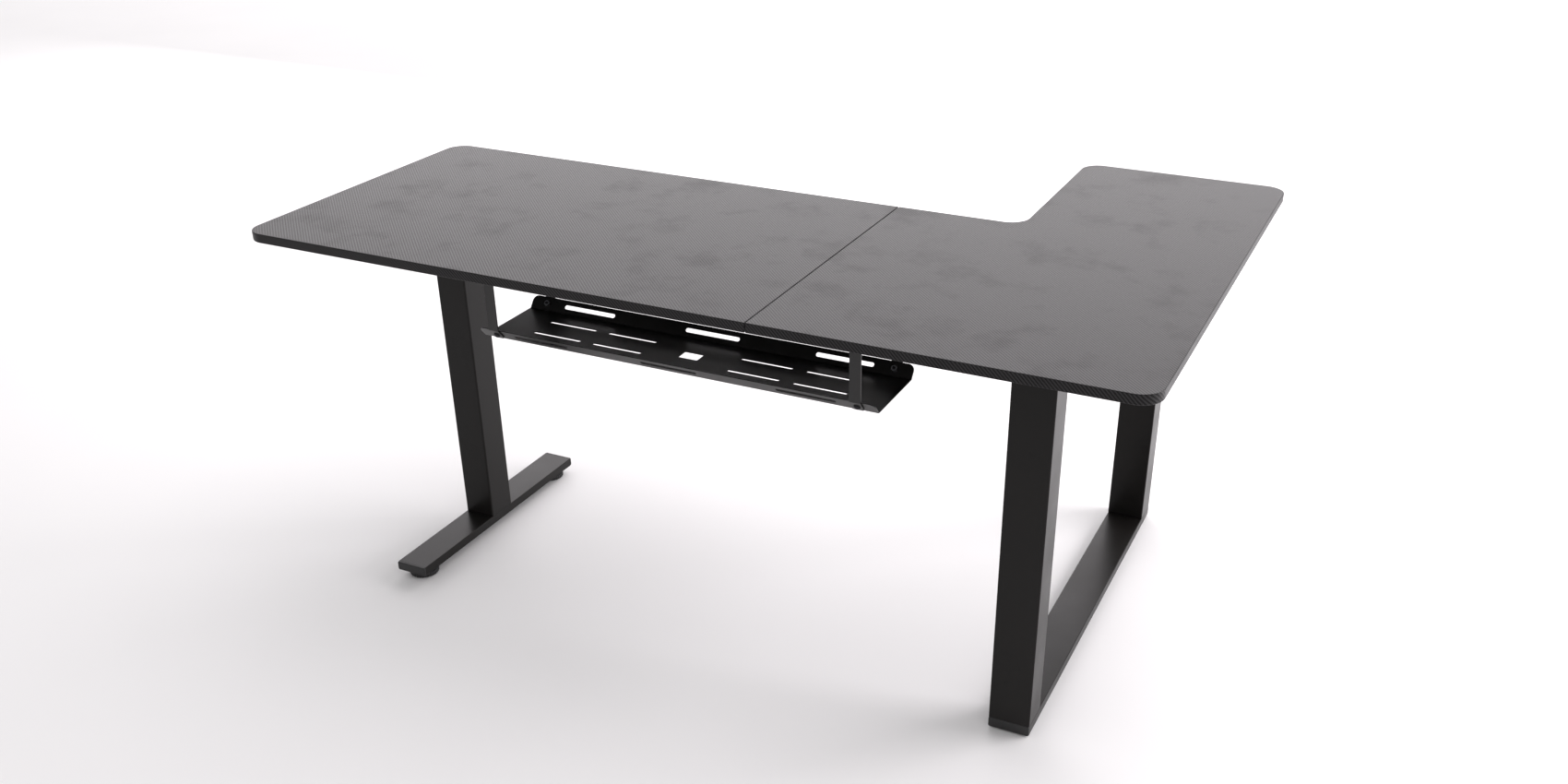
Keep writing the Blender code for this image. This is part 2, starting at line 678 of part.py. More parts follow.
def make_tray(desk):
    """One bent sheet, drawn by the middle of its thickness: wall, floor and wall."""
    drop = Vector((0, -SHEET / 2))
    corner_shift = SHEET / 2 * tan(TRAY_WALL_ANGLE / 2)
    rise = Vector((cos(TRAY_WALL_ANGLE), sin(TRAY_WALL_ANGLE)))
    out = Vector((sin(TRAY_WALL_ANGLE), -cos(TRAY_WALL_ANGLE)))
    back = Vector((tray_bend_y(-1), 0))
    front = Vector((tray_bend_y(1), 0))
    rim = rise * TRAY_WALL_SLANT + out * SHEET / 2
    points = [
        back + Vector((-rim.x, rim.y)),
        back + drop - Vector((corner_shift, 0)),
        front + drop + Vector((corner_shift, 0)),
        front + rim,
    ]
    outline = strip_outline(bent_path(points, SHEET_BEND), SHEET)
    half = TRAY_LENGTH / 2
    bm = prism(outline, "X", -half, half)
    tray = add_object(desk, "cable_tray", bm, "steel", (TRAY_X, 0, TRAY_FLOOR_Z))
    cut(tray, tray_holes())


def hanger_path(end):
    """The middle of a strap, as distances out from the tray's bend line and up from the tray floor:
    a flange under the board, straight down past the rim, and then down the wall's outer face."""
    rise = Vector((cos(TRAY_WALL_ANGLE), sin(TRAY_WALL_ANGLE)))
    out = Vector((sin(TRAY_WALL_ANGLE), -cos(TRAY_WALL_ANGLE)))
    off = out * (SHEET + GAP + HANGER_THICKNESS / 2)
    knee = off + rise * (TRAY_WALL_SLANT + HANGER_RIM_CLEARANCE)
    top = TRAY_DROP - GAP - HANGER_THICKNESS / 2
    points = [
        Vector((knee.x + HANGER_FLANGE, top)),
        Vector((knee.x, top)),
        knee,
        off + rise * HANGER_TOE,
    ]
    return [Vector((end * p.x, p.y)) for p in points]


def make_hangers(desk):
    screw_heads = FRAME_TOP - HANGER_THICKNESS
    for end_name, end in ENDS.items():
        points = hanger_path(end)
        outline = strip_outline(bent_path(points, HANGER_BEND), HANGER_THICKNESS)
        screw_y = tray_bend_y(end) + points[0].x - end * HANGER_FLANGE * 0.42
        for side_name, side in SIDES.items():
            name = f"{end_name}_{side_name}"
            x = TRAY_X + side * hanger_offset()
            bm = prism(outline, "X", -HANGER_WIDTH / 2, HANGER_WIDTH / 2)
            foot = (x, tray_bend_y(end), TRAY_FLOOR_Z)
            hanger = add_object(desk, f"tray_hanger_{name}", bm, "steel", foot)
            holes = bmesh.new()
            centre = Matrix.Translation((x, screw_y, 0))
            hole = circle(SCREW_RADIUS + HOLE_CLEARANCE)
            add_prism(holes, hole, "Z", screw_heads - 0.002, UNDERSIDE + 0.002, centre)
            place = wall_frame(end) @ Matrix.Translation((side * hanger_offset(), TRAY_WALL_SLANT / 2, 0))
            add_prism(holes, circle(TRAY_BOLT_RADIUS + HOLE_CLEARANCE), "Z", -0.008, 0.002, place)
            cut(hanger, holes)
            make_tray_bolt(desk, name, place, end)
            bm = bolt(SCREW_RADIUS, SCREW_HEAD, HANGER_THICKNESS + 2 * GAP + SCREW_BITE)
            add_object(desk, f"hanger_screw_{name}", bm, "black_bolt", (x, screw_y, screw_heads - GAP))
            drill_board(desk, x, screw_y)


def drill_board(desk, x, y):
    board = desk["top_board_left"] if x < SEAM_X else desk["top_board_right"]
    hole = bmesh.new()
    centre = Matrix.Translation((x, y, 0))
    top = UNDERSIDE + SCREW_BITE + 0.001
    add_prism(hole, circle(SCREW_RADIUS + HOLE_CLEARANCE), "Z", UNDERSIDE - 0.002, top, centre)
    cut(board, hole)


def make_tray_bolt(desk, name, place, end):
    """The bolt goes through strap and wall from outside, square to the wall, into a hex nut."""
    location = place.to_translation()
    turn = end * TRAY_WALL_ANGLE if end > 0 else -TRAY_WALL_ANGLE
    strap = SHEET + GAP + HANGER_THICKNESS + GAP
    shank = strap + GAP + TRAY_NUT_HEIGHT + TRAY_BOLT_TIP
    bm = bolt(TRAY_BOLT_RADIUS, TRAY_BOLT_HEAD, shank)
    bmesh.ops.translate(bm, verts=bm.verts, vec=(0, 0, -strap))
    add_object(desk, f"tray_bolt_{name}", bm, "black_bolt", location, turn)
    bm = hex_nut(TRAY_NUT_WIDTH, TRAY_NUT_HEIGHT, TRAY_BOLT_RADIUS + GAP)
    bmesh.ops.translate(bm, verts=bm.verts, vec=(0, 0, GAP))
    add_object(desk, f"tray_nut_{name}", bm, "zinc", location, turn)


def hex_nut(width, height, bore):
    """A nut along Z from 0: six flats outside, and a bore whose facets start at the same angles."""

    def flats(angle):
        return width / 2 / cos((angle + pi / 6) % (pi / 3) - pi / 6)

    rings = ((bore, 0), (flats, 0), (flats, height), (bore, height))
    return turned(rings, 12, hollow=True)


def build():
    clear_scene()
    desk = make_materials()
    origin = bpy.data.objects.new("desk_origin", None)
    bpy.context.scene.collection.objects.link(origin)
    origin.location = (-DESK_LENGTH / 2, -DESK_DEPTH / 2, 0)
    desk["origin"] = origin
    make_boards(desk)
    make_seam_plates(desk)
    make_t_leg(desk)
    make_levellers(desk)
    make_loop_leg(desk)
    make_rails(desk)
    make_leg_bolts(desk)
    make_tray(desk)
    make_hangers(desk)


build()
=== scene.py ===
"""The looks of an L-shaped computer desk: film-wrapped boards, powder-coated steel legs and rails,
a bent and slotted cable tray, moulded feet, and the fasteners. Metres, +Z up."""

import json

import bmesh
import bpy
import numpy as np
from mathutils import Matrix, Vector


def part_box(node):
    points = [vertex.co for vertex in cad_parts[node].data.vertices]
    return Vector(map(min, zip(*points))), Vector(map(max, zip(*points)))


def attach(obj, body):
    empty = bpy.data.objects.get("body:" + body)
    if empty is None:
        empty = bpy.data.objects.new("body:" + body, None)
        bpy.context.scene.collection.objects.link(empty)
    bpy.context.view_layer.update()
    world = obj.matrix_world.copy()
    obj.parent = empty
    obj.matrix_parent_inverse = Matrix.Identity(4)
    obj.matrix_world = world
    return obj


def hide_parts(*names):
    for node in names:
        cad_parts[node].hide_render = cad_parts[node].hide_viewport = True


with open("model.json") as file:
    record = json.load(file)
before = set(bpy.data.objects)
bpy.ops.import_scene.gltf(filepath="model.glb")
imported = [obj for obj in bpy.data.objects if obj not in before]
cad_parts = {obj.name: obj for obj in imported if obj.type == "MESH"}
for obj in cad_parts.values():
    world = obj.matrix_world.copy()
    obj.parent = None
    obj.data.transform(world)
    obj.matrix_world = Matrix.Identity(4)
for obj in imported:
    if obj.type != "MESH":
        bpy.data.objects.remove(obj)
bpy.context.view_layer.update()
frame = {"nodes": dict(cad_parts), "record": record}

DESK = "desk"  # the body that every still piece rides on
END_SIGNS = {"back": -1, "front": 1}
SIDE_SIGNS = {"left": -1, "right": 1}

# Distances taken as nothing
MERGE_DISTANCE = 2e-6
LEAST_RADIUS = 1e-5
HOLE_END_TOLERANCE = 1e-7
WINDOW_TOLERANCE = 1e-6

# Boards
ARRIS = 0.0015  # radius of the eased edges
CORNER = 0.040
SEAM_CORNER = 0.0006
RETURN_WIDTH = 0.418
BOARD_DEPTH = 0.655
DOWNWARD = -0.999  # a face whose normal's z is below this belongs to the underside

# Fit of one piece in or on another
GAP = 0.0003
HOLE_SLACK = 0.0004  # how much larger than its shank a hole's radius is

# Steel tubes. TUBES: node, length axis, outer corner radius, wall
WALL = 0.002
RAIL_WALL = 0.0015
CUT_EASE = 0.0003  # softens the cut ends
LEAST_BORE_CORNER = 0.0004
TUBES = (
    ("t_leg_column", 2, 0.0035, WALL),
    ("t_leg_foot_beam", 1, 0.0016, WALL),
    ("t_leg_top_beam", 1, 0.003, WALL),
    ("loop_post_back", 2, 0.0022, WALL),
    ("loop_post_front", 2, 0.0022, WALL),
    ("loop_bottom_beam", 1, 0.0016, WALL),
    ("loop_top_beam", 1, 0.0016, WALL),
    ("rail_back", 0, 0.002, RAIL_WALL),
    ("rail_front", 0, 0.002, RAIL_WALL),
)

# Flat plates
PLATE_EASE = 0.0004
SEAM_PLATE_CORNER = 0.006
FLANGE_CORNER = 0.002

# Tube plugs. PLUGS: family, thickness of the lip, radius of the outer edges
PLUGS = (
    ("t_leg_foot_cap", 0.005, 0.0028),
    ("loop_bottom_cap", 0.003, 0.0008),
    ("loop_top_cap", 0.003, 0.0008),
)
PLUG_CORNER = 0.0035
PLUG_LEAST_CORNER = 0.0008
PLUG_LIP_CORNER = 0.0020
PLUG_BLOCK_CORNER = 0.0012

# Cable tray: slots are (place along the tray, length, width)
SHEET = 0.0015
SHEET_BEND = 0.002
TRAY_FLOOR_WIDTH = 0.143
WALL_SLANT = 0.027
WALL_ANGLE = np.radians(51)
TRAY_CORNER = 0.012
FLOOR_SLOTS = [(x, 0.101, 0.006) for x in (-0.2670, -0.1385, 0.1385, 0.2670)]
FLOOR_SLOT_SPREAD = 0.054
WALL_SLOTS = [(x, 0.112, 0.008) for x in (-0.2650, 0.0, 0.2650)]
WINDOW = (0.038, 0.026, 0.002)  # length, width, corner radius

# Tray hangers
STRAP = 0.002
STRAP_BEND = 0.003
STRAP_FLANGE = 0.028
STRAP_CORNER = 0.003
RIM_CLEARANCE = 0.0015
TOE = 0.003
SCREW_FROM_FLANGE_END = 0.01176
HANGER_INSET = 0.035
SHEET_EASE = 0.0002

# Fasteners: head radius, head height, shank radius, socket radius
TRAY_BOLT = (0.0063, 0.0033, 0.003, 0.0021)
LEG_BOLT = (0.006, 0.0033, 0.003, 0.0021)
RAIL_BOLT = (0.0052, 0.003, 0.003, 0.0021)
HANGER_SCREW = (0.0042, 0.0024, 0.002, 0.0016)
PLATE_SCREW = (0.0040, 0.0020, 0.002, 0.0016)
HANGER_SCREW_LENGTH = 0.0156
PLATE_SCREW_SHANK = 0.001  # the part that the plate hides
PLATE_SCREW_PLACE = np.array([0.046, 0.014, 0])  # from the plate's middle
SHANK_TIP = 0.0004  # height of the taper at a shank's end
NUT_WIDTH = 0.010
NUT_HEIGHT = 0.005
NUT_CHAMFER = 0.0005
BOLT_TIP = 0.0015  # how far a bolt stands out of its nut

# Levelling feet and glides
FOOT_RIBS = 30
POINTS_PER_RIB = 8
RIB_DEPTH = 0.0012
NECK_RADIUS = 0.012
RIM_BELOW_TOP = 0.0025
FOOT_BORE = 0.0053
FOOT_BORE_FLOOR = 0.0027
THREAD_PITCH = 0.0015
THREAD_DEPTH = 0.0008
THREAD_RUNOUT = 0.001
RINGS_PER_PITCH = 8
GLIDE_EDGE = 0.0008  # its lower edge is eased in two steps
GLIDE_EDGE_STEP = 0.0002

# Camera
CAMERA_TURN = (25.256, 28.328, -0.157)  # azimuth, elevation and roll in degrees
CAMERA_PLACE = (1.2252, -2.4634, 1.6502)
CAMERA_LENS = 33.37
CAMERA_SHIFT = (-0.0195, 0.0501)

# Light. SOFTBOXES: name, place, target, size, watts
WORLD_COLOUR = (1.0, 0.985, 0.99, 1.0)
WORLD_STRENGTH = 0.62
LIGHT_TINT = (1.0, 0.955, 0.98)
SOFTBOXES = (
    ("overhead", (0.3, 0.9, 3.6), (0.1, 0.3, 0), (4.0, 3.0), 65),
    ("right_side", (3.8, 1.4, 1.8), (0.9, 0.3, 0.1), (2.6, 2.6), 135),
    ("backdrop", (-2.0, 3.0, 1.35), (-2.0, 0, 1.1), (6.5, 2.05), 71),
    ("far_floor", (-1.5, 6.5, 5.0), (-1.5, 6.5, 0), (18.0, 6.0), 500),
)


# Materials


def linear(hex_colour):
    """An sRGB hex colour as linear RGBA."""
    value = np.array([int(hex_colour[i : i + 2], 16) for i in (0, 2, 4)]) / 255
    value = np.where(value <= 0.04045, value / 12.92, ((value + 0.055) / 1.055) ** 2.4)
    return (*value.tolist(), 1.0)


def add_node(material, kind, links=None, **settings):
    """Adds a node. Settings are its own properties, or the values of its inputs by number (i0, i1)
    or by name with spaces written as underscores. Links map inputs to the sockets that feed
    them."""
    node = material.node_tree.nodes.new(kind)
    for key, value in settings.items():
        if key[0] == "i" and key[1:].isdigit():
            node.inputs[int(key[1:])].default_value = value
        elif key.replace("_", " ") in node.inputs and not hasattr(node, key):
            node.inputs[key.replace("_", " ")].default_value = value
        else:
            setattr(node, key, value)
    for key, socket in (links or {}).items():
        material.node_tree.links.new(socket, node.inputs[key])
    return node


def start_material(name, **shader_values):
    """A material with its Principled shader, and the shader's constants set on its own sockets."""
    material = bpy.data.materials.new(name)
    material.use_nodes = True
    shader = material.node_tree.nodes["Principled BSDF"]
    for key, value in shader_values.items():
        shader.inputs[key.replace("_", " ")].default_value = value
    return material, shader


def feed(material, shader, **sockets):
    """Links sockets to the shader's inputs of the same names."""
    for key, socket in sockets.items():
        material.node_tree.links.new(socket, shader.inputs[key.replace("_", " ")])


def math(material, operation, a, b=None):
    """A Math node's result. a and b are sockets or numbers."""
    node = add_node(material, "ShaderNodeMath", operation=operation)
    for number, value in enumerate((a, b)):
        if isinstance(value, bpy.types.NodeSocket):
            material.node_tree.links.new(value, node.inputs[number])
        elif value is not None:
            node.inputs[number].default_value = value
    return node.outputs[0]


def mix_colour(material, factor, first, second):
    """Two hex colours mixed by a factor socket."""
    node = add_node(material, "ShaderNodeMix", data_type="RGBA")
    material.node_tree.links.new(factor, node.inputs[0])
    node.inputs[6].default_value = linear(first)
    node.inputs[7].default_value = linear(second)
    return node.outputs[2]


def spread(material, socket, low, high, start=0.0, end=1.0):
    """Maps start..end of a socket to low..high, and stays between them."""
    node = add_node(
        material, "ShaderNodeMapRange", {0: socket}, i1=start, i2=end, i3=low, i4=high
    )
    return node.outputs[0]


def object_coordinates(material):
    """The object's own coordinates in metres."""
    return add_node(material, "ShaderNodeTexCoord").outputs["Object"]


def noise(material, coordinates, size, detail=2.0, roughness=0.5):
    """Noise whose grains are about the given size in metres."""
    node = add_node(
        material, "ShaderNodeTexNoise", {"Vector": coordinates},
        Scale=1 / size, Detail=detail, Roughness=roughness,
    )
    return node.outputs["Fac"]


def bump(material, height, depth, strength=1.0, normal=None):
    """A normal bent by a height of 0 to 1 times the depth, on top of another normal if given."""
    links = {"Height": height}
    if normal is not None:
        links["Normal"] = normal
    node = add_node(material, "ShaderNodeBump", links, Distance=depth, Strength=strength)
    return node.outputs[0]


def pick(material, chosen, first, second):
    """first where chosen is 1, and second where it is 0."""
    difference = math(material, "SUBTRACT", first, second)
    return math(material, "ADD", second, math(material, "MULTIPLY", chosen, difference))


def weave_coordinates(material):
    """Two distances over the surface: x and y on top, and along the edge and z on the edges."""
    place = add_node(material, "ShaderNodeSeparateXYZ", {0: object_coordinates(material)})
    x, y, z = place.outputs
    geometry = add_node(material, "ShaderNodeNewGeometry")
    facing = add_node(material, "ShaderNodeSeparateXYZ", {0: geometry.outputs["Normal"]})
    steep_x, steep_z = (math(material, "ABSOLUTE", facing.outputs[i]) for i in (0, 2))
    is_end = math(material, "GREATER_THAN", steep_x, 0.7)
    is_flat = math(material, "GREATER_THAN", steep_z, 0.7)
    return pick(material, is_end, y, x), pick(material, is_flat, y, z)


def carbon_film():
    """Carbon-look PVC film, vacuum-pressed round fibreboard. The film is printed and embossed with
    a 2/2 twill, whose warp shines more than its weft, so the eye sees fine diagonal lines under a
    satin sheen with a few dull smudges. Real tows are about 1.4 mm wide. They are drawn 1.7 mm
    wide, so that the diagonals show. The IOR is below the film's 1.5, because the fine emboss
    swallows much of the gloss seen face-on."""
    tow = 0.0017
    material, shader = start_material("carbon_weave_pvc_film", IOR=1.31)
    across, up = weave_coordinates(material)
    a = math(material, "DIVIDE", across, tow)
    b = math(material, "DIVIDE", up, tow)
    cell = math(material, "ADD", math(material, "FLOOR", a), math(material, "FLOOR", b))
    warp = math(material, "LESS_THAN", math(material, "FLOORED_MODULO", cell, 4), 1.5)
    ridge_a = math(material, "PINGPONG", math(material, "FRACT", a), 0.5)
    ridge_b = math(material, "PINGPONG", math(material, "FRACT", b), 0.5)
    lift = math(material, "SUBTRACT", ridge_a, ridge_b)
    height = math(material, "ADD", ridge_b, math(material, "MULTIPLY", warp, lift))
    coordinates = object_coordinates(material)
    smudge = noise(material, coordinates, 0.09, detail=5, roughness=0.62)
    dull = spread(material, smudge, 0, 1, 0.52, 0.70)
    shine = math(material, "ADD", math(material, "MULTIPLY", warp, 0.46), 0.37)
    kept = math(material, "SUBTRACT", 1.0, math(material, "MULTIPLY", dull, 0.14))
    shine = math(material, "MULTIPLY", shine, kept)
    roughness = math(material, "ADD", math(material, "MULTIPLY", dull, 0.04), 0.39)
    haze = noise(material, coordinates, 0.0004, detail=1)
    grain = bump(material, haze, 0.00003, 0.3)
    weave = bump(material, height, 0.00010, 1.0, grain)
    feed(
        material, shader, Base_Color=mix_colour(material, warp, "0e0d0e", "1e1c1e"),
        Roughness=roughness, Specular_IOR_Level=shine, Normal=weave,
    )
    return material


def backing_paper():
    """Black melamine paper on a board's underside: flat, dull and faintly fibrous."""
    material, shader = start_material("black_melamine_backing", IOR=1.5)
    coordinates = object_coordinates(material)
    fibres = noise(material, coordinates, 0.003, detail=5, roughness=0.7)
    colour = mix_colour(material, fibres, "1b1a1a", "262424")
    feed(material, shader, Base_Color=colour, Roughness=spread(material, fibres, 0.62, 0.72))
    feed(material, shader, Normal=bump(material, fibres, 0.00003, 0.4))
    return material


def powder_coat():
    """Black polyester powder coat, sprayed and baked on steel: near-black, satin, with a fine
    orange peel about 1.5 mm across and a faint unevenness of gloss over a hand's width. The IOR is
    below the resin's 1.5, because the texture swallows much of the gloss seen face-on."""
    material, shader = start_material("black_powder_coated_steel", IOR=1.27)
    coordinates = object_coordinates(material)
    peel = noise(material, coordinates, 0.0015, detail=2)
    speck = noise(material, coordinates, 0.0005, detail=1)
    cloud = noise(material, coordinates, 0.12, detail=3)
    colour = mix_colour(material, cloud, "131211", "1b1918")
    roughness = math(
        material, "ADD",
        spread(material, cloud, 0.27, 0.34, 0.35, 0.65),
        spread(material, speck, -0.03, 0.05),
    )
    fine = bump(material, speck, 0.00002, 0.4)
    coat = bump(material, peel, 0.00005, 0.35, fine)
    feed(material, shader, Base_Color=colour, Roughness=roughness, Normal=coat)
    return material


def tray_coat():
    """The tray's and straps' coat: the same black powder, thinner and flatter on 1.5 mm sheet, so a
    little smoother. Its darker colour is painted shade for the tray and straps that hang under the
    top."""
    material, shader = start_material("tray_black_coat_painted_shade", IOR=1.5)
    coordinates = object_coordinates(material)
    peel = noise(material, coordinates, 0.0012, detail=2)
    cloud = noise(material, coordinates, 0.08, detail=3)
    # painted shade: these colours are darker than the legs' coat, standing in for the shade under
    # the top
    colour = mix_colour(material, cloud, "0e0d0d", "161514")
    feed(material, shader, Base_Color=colour)
    feed(material, shader, Roughness=spread(material, cloud, 0.30, 0.37, 0.35, 0.65))
    feed(material, shader, Normal=bump(material, peel, 0.00003, 0.35))
    return material


def moulded_plastic():
    """Black ABS, injection-moulded in a spark-eroded mould: a fine even grain of about 0.4 mm."""
    material, shader = start_material("black_moulded_abs", IOR=1.54)
    coordinates = object_coordinates(material)
    grain = noise(material, coordinates, 0.0004, detail=2)
    flow = noise(material, coordinates, 0.02, detail=2)
    feed(material, shader, Base_Color=mix_colour(material, flow, "141414", "1c1c1d"))
    feed(material, shader, Roughness=spread(material, grain, 0.48, 0.60))
    feed(material, shader, Normal=bump(material, grain, 0.00004, 0.5))
    return material


def zinc_plate():
    """Bright zinc plate on machined steel: grey-blue, with tumbling marks of about a millimetre."""
    material, shader = start_material("bright_zinc_plate", Metallic=1.0)
    coordinates = object_coordinates(material)
    marks = noise(material, coordinates, 0.001, detail=3)
    feed(material, shader, Base_Color=mix_colour(material, marks, "a9adb2", "c4c7cb"))
    feed(material, shader, Roughness=spread(material, marks, 0.26, 0.42))
    return material


def black_oxide():
    """Black-oxided steel bolts, blackened in a hot bath and oiled: very dark, with a soft metal
    glint."""
    material, shader = start_material("black_oxide_steel", Metallic=0.85)
    coordinates = object_coordinates(material)
    marks = noise(material, coordinates, 0.0008, detail=3)
    feed(material, shader, Base_Color=mix_colour(material, marks, "1f1f21", "36363a"))
    feed(material, shader, Roughness=spread(material, marks, 0.34, 0.50))
    return material


def pale_floor():
    """A matt white studio floor."""
    material, shader = start_material("white_studio_floor", IOR=1.45)
    coordinates = object_coordinates(material)
    cloud = noise(material, coordinates, 0.6, detail=2)
    feed(material, shader, Base_Color=mix_colour(material, cloud, "e9e9e9", "eeeeee"))
    feed(material, shader, Roughness=spread(material, cloud, 0.85, 0.95))
    return material


# Meshes from arrays


def sheet(points, wrap_rows=False, wrap_columns=False):
    """The points and quads of a surface given as a grid of points: rows, columns and x, y, z."""
    rows, columns = points.shape[:2]
    index = np.arange(rows * columns).reshape(rows, columns)
    if wrap_rows:
        index = np.vstack([index, index[:1]])
    if wrap_columns:
        index = np.hstack([index, index[:, :1]])
    quads = np.stack([index[:-1, :-1], index[1:, :-1], index[1:, 1:], index[:-1, 1:]], axis=-1)
    return points.reshape(-1, 3), quads.reshape(-1, 4).tolist()


def loft(rings):
    """A closed shell through rings of points, with a flat face across its first and last ring."""
    points, faces = sheet(rings, wrap_columns=True)
    count = rings.shape[1]
    faces.append(list(range(count)))
    faces.append(list(range(len(points) - count, len(points))))
    return points, faces


def make_piece(name, shells, materials, replaces=(), body=DESK, numbers=None):
    """One piece from closed shells (points, faces). Doubled points are merged, faces are turned
    outwards, and round stretches are smooth while corners over 40 degrees stay sharp. numbers is a
    function from the mesh's polygon normals to their material numbers."""
    mesh = bpy.data.meshes.new(name)
    bm = bmesh.new()
    for points, faces in shells:
        part = bpy.data.meshes.new("part")
        part.from_pydata(points, [], faces)
        bm.from_mesh(part)
        bpy.data.meshes.remove(part)
    bmesh.ops.remove_doubles(bm, verts=bm.verts, dist=MERGE_DISTANCE)
    bmesh.ops.recalc_face_normals(bm, faces=bm.faces)
    bm.to_mesh(mesh)
    bm.free()
    mesh.shade_smooth()
    mesh.set_sharp_from_angle(angle=np.radians(40))
    for material in materials:
        mesh.materials.append(material)
    if numbers is not None:
        normals = np.empty(len(mesh.polygons) * 3)
        mesh.polygons.foreach_get("normal", normals)
        mesh.polygons.foreach_set("material_index", numbers(normals.reshape(-1, 3)))
    piece = bpy.data.objects.new(name, mesh)
    bpy.context.scene.collection.objects.link(piece)
    normals_modifier = piece.modifiers.new("flat_faces_flat", "WEIGHTED_NORMAL")
    normals_modifier.keep_sharp = True
    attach(piece, body)
    if replaces:
        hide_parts(*replaces)
    return piece


def node_box(node):
    """The lowest and highest corner of a CAD node's box."""
    low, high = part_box(node)
    return np.array(low), np.array(high)


def centred_on(points, node):
    """Moves points drawn about 0, 0 to the middle of a node's box, seen from above."""
    low, high = node_box(node)
    centre = (low + high) / 2
    return points + np.array([centre[0], centre[1], 0])


def rounded_rectangle(width, height, radius, steps=8):
    """Points round a rectangle about 0, 0: four quarter arcs, each about the point a radius in
    from both sides of its corner."""
    turn = np.arange(4)[:, None] * np.pi / 2 + np.linspace(0, np.pi / 2, steps + 1)[None, :]
    signs = np.array([(1, 1), (-1, 1), (-1, -1), (1, -1)])[:, None, :]
    centres = signs * np.array([width / 2 - radius, height / 2 - radius])
    arcs = np.stack([np.cos(turn), np.sin(turn)], axis=-1) * radius
    return (centres + arcs).reshape(-1, 2)


def stand(section, axis, distance, centre):
    """A flat outline of points (a, b) placed across an axis at a distance along it. a and b go to
    the other two axes in x, y, z order, about the centre."""
    others = [i for i in range(3) if i != axis]
    points = np.empty((len(section), 3))
    points[:, axis] = distance
    points[:, others] = section + np.asarray(centre)[others]
    return points


def inset_outline(corners, inset, steps=16):
    """Points round an outline of square corners (x, y, radius), anticlockwise, moved in by the
    inset. Each corner is a quarter arc. Going in takes the inset off an outer corner's radius and
    adds it to an inner corner's."""
    table = np.array(corners)
    corner = table[:, :2]
    ahead = np.roll(corner, -1, axis=0) - corner
    ahead /= np.linalg.norm(ahead, axis=1, keepdims=True)
    behind = np.roll(ahead, 1, axis=0)
    inward = np.stack([-behind[:, 1], behind[:, 0]], axis=1)
    inward_ahead = np.stack([-ahead[:, 1], ahead[:, 0]], axis=1)
    turn = np.sign(behind[:, 0] * ahead[:, 1] - behind[:, 1] * ahead[:, 0])[:, None]
    corner = corner + (inward + inward_ahead) * inset
    radius = np.maximum(table[:, 2:] - turn * inset, LEAST_RADIUS)
    centre = corner - behind * radius + inward * turn * radius
    angle = np.linspace(0, np.pi / 2, steps + 1)[None, :, None]
    start = (-turn * inward)[:, None, :]
    arcs = (start * np.cos(angle) + behind[:, None, :] * np.sin(angle)) * radius[:, None, :]
    return (centre[:, None, :] + arcs).reshape(-1, 2)


# Boards


def board_shell(corners, low, high):
    """An outline lofted up a board's edge: a quarter arc out from the underside, the straight
    edge, and a quarter arc in to the top."""
    angle = np.linspace(0, np.pi / 2, 6)
    out, over = ARRIS * (1 - np.sin(angle)), ARRIS * (1 - np.cos(angle))
    insets = np.concatenate([out, over])
    heights = np.concatenate([low + over, high - out])
    rings = []
    for inset, height in zip(insets, heights):
        outline = inset_outline(corners, inset)
        rings.append(np.column_stack([outline, np.full(len(outline), height)]))
    return loft(np.array(rings))


def make_boards(film, backing):
    """The straight half and the L-shaped half of the top."""
    low, high = node_box("top_board_left")
    left = [
        (low[0], low[1], CORNER),
        (high[0], low[1], SEAM_CORNER),
        (high[0], high[1], SEAM_CORNER),
        (low[0], high[1], CORNER),
    ]
    other_low, other_high = node_box("top_board_right")
    inner_x = other_high[0] - RETURN_WIDTH
    inner_y = other_low[1] + BOARD_DEPTH
    right = [
        (other_low[0], other_low[1], SEAM_CORNER),
        (other_high[0], other_low[1], CORNER),
        (other_high[0], other_high[1], CORNER),
        (inner_x, other_high[1], CORNER),
        (inner_x, inner_y, CORNER),
        (other_low[0], inner_y, SEAM_CORNER),
    ]

    def underside_is_backing(normals):
        return (normals[:, 2] < DOWNWARD).astype(np.int32)

    for node, corners in (("top_board_left", left), ("top_board_right", right)):
        shell = board_shell(corners, low[2], high[2])
        make_piece(
            "wrapped_" + node, [shell], [film, backing], [node],
            numbers=underside_is_backing,
        )


# Steel tubes, plates and plugs


def tube_shell(node, axis, radius, wall):
    """A rectangular tube as one closed surface: out along the outside, back along the bore."""
    low, high = node_box(node)
    centre = (low + high) / 2
    width, height = np.delete(high - low, axis)
    outer = rounded_rectangle(width, height, radius)
    bore_corner = max(radius - wall, LEAST_BORE_CORNER)
    inner = rounded_rectangle(width - 2 * wall, height - 2 * wall, bore_corner)
    eased = rounded_rectangle(width - 2 * CUT_EASE, height - 2 * CUT_EASE, radius)
    rings = [
        stand(eased, axis, low[axis], centre),
        stand(outer, axis, low[axis] + CUT_EASE, centre),
        stand(outer, axis, high[axis] - CUT_EASE, centre),
        stand(eased, axis, high[axis], centre),
        stand(inner, axis, high[axis], centre),
        stand(inner, axis, low[axis], centre),
    ]
    return sheet(np.array(rings), wrap_rows=True, wrap_columns=True)


def make_tubes(coat):
    """The columns, beams and rails."""
    for node, axis, radius, wall in TUBES:
        shell = tube_shell(node, axis, radius, wall)
        make_piece(node + "_tube", [shell], [coat], [node])


def plate_shell(node, axis, radius):
    """A flat plate with rounded corners and softened edges, lofted through its thickness."""
    low, high = node_box(node)
    centre = (low + high) / 2
    width, height = np.delete(high - low, axis)
    ease = PLATE_EASE
    small = rounded_rectangle(width - 2 * ease, height - 2 * ease, radius - ease)
    full = rounded_rectangle(width, height, radius)
    places = (low[axis], low[axis] + ease, high[axis] - ease, high[axis])
    rings = [stand(s, axis, p, centre) for s, p in zip((small, full, full, small), places)]
    return loft(np.array(rings))


